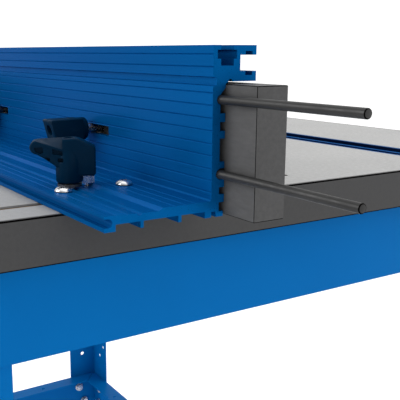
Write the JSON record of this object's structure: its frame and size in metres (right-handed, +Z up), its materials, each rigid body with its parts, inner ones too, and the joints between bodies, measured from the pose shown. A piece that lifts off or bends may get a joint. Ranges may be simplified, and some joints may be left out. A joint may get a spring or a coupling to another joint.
{
  "type": "router table",
  "caption": "Router table: angle-leg steel stand, laminated top with insert plate and mitre track, long L-section extruded fence clamped across it with sliding faces.",
  "frame": {"origin": "floor level, under the middle of the bounding box", "axes": "+X along the fence from the outfeed to the infeed end, +Y to the rear of the table, +Z up"},
  "size_m": [1.0414, 0.61, 0.962],
  "materials": {
    "powder_coat": "smooth powder coat, semi-gloss",
    "fence_blue": "blue anodised, satin",
    "track_navy": "dark blue anodised, satin",
    "laminate": "textured laminate",
    "core_board": "bare fibreboard",
    "backer": "backing laminate",
    "edge_band": "dark grey edging, matte",
    "insert_plastic": "phenolic plate, satin",
    "ring_plastic": "moulded, satin",
    "face_board": "grey sealed fibreboard, matte",
    "knob_plastic": "moulded, satin",
    "steel": "zinc plated",
    "rod_black": "moulded rod, satin",
    "key_plastic": "slippery moulded plastic",
    "hood_plastic": "moulded, satin",
    "foot_plastic": "moulded, matte"
  },
  "bodies": {
    "table": {"laminate_main": "laminate", "laminate_front": "laminate", "leg_outfeed_rear": "powder_coat", "leg_outfeed_front": "powder_coat", "leg_infeed_rear": "powder_coat", "leg_infeed_front": "powder_coat", "apron_outfeed": "powder_coat", "rail_outfeed": "powder_coat", "apron_infeed": "powder_coat", "rail_infeed": "powder_coat", "apron_front": "powder_coat", "rail_front": "powder_coat", "apron_rear": "powder_coat", "rail_rear": "powder_coat", "top_core": "core_board", "top_backer": "backer", "edge_band": "edge_band", "mitre_track": "track_navy", "insert_plate": "insert_plastic"},
    "fence": {"fence_outfeed": "fence_blue", "fence_infeed": "fence_blue", "fence_over_mouth": "fence_blue", "fence_behind_mouth": "fence_blue", "dust_hood": "hood_plastic", "lock_bolt_outfeed": "steel", "lock_washer_outfeed": "steel", "guide_key_front_outfeed": "key_plastic", "guide_key_rear_outfeed": "key_plastic", "guide_screw_front_outfeed": "steel", "guide_screw_rear_outfeed": "steel", "key_nut_outfeed": "steel", "lock_bolt_infeed": "steel", "lock_washer_infeed": "steel", "guide_key_front_infeed": "key_plastic", "guide_key_rear_infeed": "key_plastic", "guide_screw_front_infeed": "steel", "guide_screw_rear_infeed": "steel", "key_nut_infeed": "steel"},
    "insert_ring": {"insert_ring": "ring_plastic"},
    "face_outfeed": {"face_outfeed": "face_board", "face_bolt_outfeed_outer": "steel", "face_bolt_outfeed_inner": "steel"},
    "face_knob_outfeed_outer": {"face_knob_outfeed_outer": "knob_plastic"},
    "face_knob_outfeed_inner": {"face_knob_outfeed_inner": "knob_plastic"},
    "lock_knob_outfeed": {"lock_knob_outfeed": "knob_plastic"},
    "face_infeed": {"face_infeed": "face_board", "face_bolt_infeed_outer": "steel", "face_bolt_infeed_inner": "steel"},
    "face_knob_infeed_outer": {"face_knob_infeed_outer": "knob_plastic"},
    "face_knob_infeed_inner": {"face_knob_infeed_inner": "knob_plastic"},
    "lock_knob_infeed": {"lock_knob_infeed": "knob_plastic"},
    "jointing_rod_upper": {"jointing_rod_upper": "rod_black"},
    "jointing_rod_lower": {"jointing_rod_lower": "rod_black"},
    "foot_outfeed_rear": {"foot_outfeed_rear": "foot_plastic"},
    "foot_outfeed_front": {"foot_outfeed_front": "foot_plastic"},
    "foot_infeed_rear": {"foot_infeed_rear": "foot_plastic"},
    "foot_infeed_front": {"foot_infeed_front": "foot_plastic"}
  },
  "joints": [
    {"name": "fence_slide", "type": "slide", "parent": "table", "child": "fence", "axis": [0, 1, 0], "range_m": [-0.13, 0.05]},
    {"name": "ring_lift", "type": "slide", "parent": "table", "child": "insert_ring", "axis": [0, 0, 1], "range_m": [0, 0.05]},
    {"name": "face_slide_outfeed", "type": "slide", "parent": "fence", "child": "face_outfeed", "axis": [1, 0, 0], "range_m": [-0.022, 0.04]},
    {"name": "face_knob_turn_outfeed_outer", "type": "hinge", "parent": "face_outfeed", "child": "face_knob_outfeed_outer", "pos_m": [-0.2737, 0.1505, 0.9059], "axis": [0, 1, 0], "continuous": true},
    {"name": "face_knob_turn_outfeed_inner", "type": "hinge", "parent": "face_outfeed", "child": "face_knob_outfeed_inner", "pos_m": [-0.0783, 0.1505, 0.9059], "axis": [0, 1, 0], "continuous": true},
    {"name": "lock_knob_turn_outfeed", "type": "hinge", "parent": "fence", "child": "lock_knob_outfeed", "pos_m": [-0.3367, 0.181, 0.89], "axis": [0, 0, 1], "continuous": true},
    {"name": "face_slide_infeed", "type": "slide", "parent": "fence", "child": "face_infeed", "axis": [-1, 0, 0], "range_m": [-0.022, 0.04]},
    {"name": "face_knob_turn_infeed_outer", "type": "hinge", "parent": "face_infeed", "child": "face_knob_infeed_outer", "pos_m": [0.3487, 0.1505, 0.9059], "axis": [0, 1, 0], "continuous": true},
    {"name": "face_knob_turn_infeed_inner", "type": "hinge", "parent": "face_infeed", "child": "face_knob_infeed_inner", "pos_m": [0.1533, 0.1505, 0.9059], "axis": [0, 1, 0], "continuous": true},
    {"name": "lock_knob_turn_infeed", "type": "hinge", "parent": "fence", "child": "lock_knob_infeed", "pos_m": [0.4117, 0.181, 0.89], "axis": [0, 0, 1], "continuous": true},
    {"name": "rod_slide_upper", "type": "slide", "parent": "fence", "child": "jointing_rod_upper", "axis": [1, 0, 0], "range_m": [-0.05, 0.1]},
    {"name": "rod_slide_lower", "type": "slide", "parent": "fence", "child": "jointing_rod_lower", "axis": [1, 0, 0], "range_m": [-0.05, 0.1]},
    {"name": "foot_screw_outfeed_rear", "type": "slide", "parent": "table", "child": "foot_outfeed_rear", "axis": [0, 0, -1], "range_m": [0, 0.025]},
    {"name": "foot_screw_outfeed_front", "type": "slide", "parent": "table", "child": "foot_outfeed_front", "axis": [0, 0, -1], "range_m": [0, 0.025]},
    {"name": "foot_screw_infeed_rear", "type": "slide", "parent": "table", "child": "foot_infeed_rear", "axis": [0, 0, -1], "range_m": [0, 0.025]},
    {"name": "foot_screw_infeed_front", "type": "slide", "parent": "table", "child": "foot_infeed_front", "axis": [0, 0, -1], "range_m": [0, 0.025]}
  ]
}
